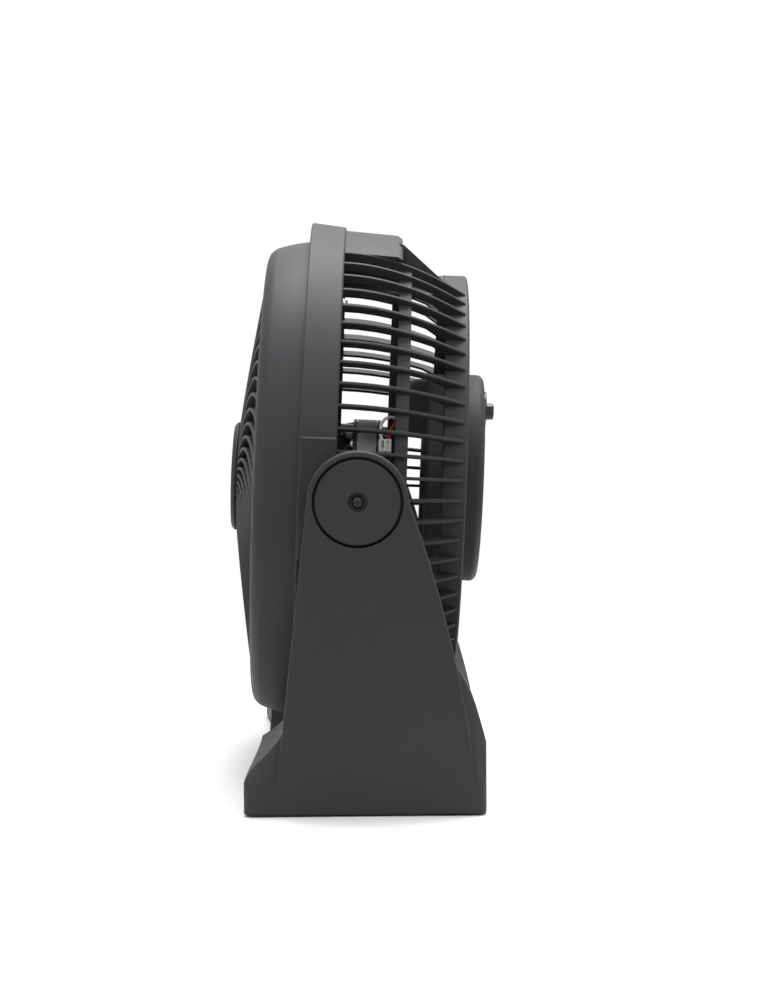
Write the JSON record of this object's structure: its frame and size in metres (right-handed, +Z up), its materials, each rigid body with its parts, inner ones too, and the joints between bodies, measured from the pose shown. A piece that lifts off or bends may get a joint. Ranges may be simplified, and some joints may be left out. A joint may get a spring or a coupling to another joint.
{
  "type": "air circulator fan",
  "caption": "Round table air circulator: a caged fan head with a hand hold and a swirl grille, tilting between the arms of a U-shaped stand, with a speed knob behind.",
  "frame": {"origin": "floor level, under the middle of the whole fan's footprint", "axes": "+Z up, -Y the way the air leaves, +X to the right seen from the front"},
  "size_m": [0.395, 0.1891, 0.3884],
  "materials": {
    "charcoal_plastic": "fine satin texture",
    "grille_plastic": "satin",
    "black_plastic": "satin",
    "knob_plastic": "gloss",
    "rubber": "matte",
    "nylon": "satin",
    "red_insulation": "satin",
    "film_wrap": "satin",
    "steel": "bright",
    "dark_steel": "satin black",
    "copper_wire": "enamelled wire",
    "bronze": "sintered"
  },
  "bodies": {
    "stand": {"stand": "charcoal_plastic", "rubber_foot_front_right": "rubber", "rubber_foot_front_left": "rubber", "rubber_foot_rear_right": "rubber", "rubber_foot_rear_left": "rubber", "friction_washer_right": "nylon", "friction_washer_left": "nylon"},
    "head": {"rear_guard": "charcoal_plastic", "hand_hold": "charcoal_plastic", "front_grille": "grille_plastic", "front_badge": "charcoal_plastic", "pivot_cap_right": "charcoal_plastic", "pivot_screw_right": "dark_steel", "pivot_cap_left": "charcoal_plastic", "pivot_screw_left": "dark_steel", "grille_screw_1": "steel", "grille_screw_2": "steel", "grille_screw_3": "steel", "grille_screw_4": "steel", "motor_bracket": "black_plastic", "motor_front_bell": "dark_steel", "motor_rear_bell": "dark_steel", "stator_stack": "steel", "stator_winding": "copper_wire", "bearing_front": "bronze", "bearing_rear": "bronze", "lead_connector": "nylon", "lead_red": "red_insulation", "lead_white": "nylon", "motor_bolt_1": "steel", "motor_bolt_2": "steel", "motor_bolt_3": "steel", "motor_bolt_4": "steel", "bracket_screw_1": "steel", "bracket_screw_2": "steel", "bracket_screw_3": "steel", "bracket_screw_4": "steel", "rear_cover": "charcoal_plastic", "rotary_switch": "black_plastic", "switch_nut": "steel", "cord_inlet": "black_plastic", "capacitor": "film_wrap", "cover_screw_1": "steel", "cover_screw_2": "steel", "cover_screw_3": "steel"},
    "fan": {"fan_wheel": "black_plastic", "motor_shaft": "steel", "rotor_core": "steel", "blade_nut": "black_plastic", "drive_pin": "steel", "thrust_washer_front": "nylon", "thrust_washer_rear": "nylon"},
    "knob": {"speed_knob": "knob_plastic", "switch_shaft": "steel"}
  },
  "joints": [
    {"name": "head_tilt", "type": "hinge", "parent": "stand", "child": "head", "pos_m": [0, -0.0032, 0.20395], "axis": [-1, 0, 0], "range_deg": [-2.6, 87.4]},
    {"name": "fan_spin", "type": "hinge", "parent": "head", "child": "fan", "pos_m": [0, -0.0032, 0.20395], "axis": [0, 0.999, -0.0454], "continuous": true},
    {"name": "speed_knob", "type": "hinge", "parent": "head", "child": "knob", "pos_m": [0, 0.08912, 0.25311], "axis": [0, -0.999, 0.0454], "range_deg": [0, 135]}
  ]
}
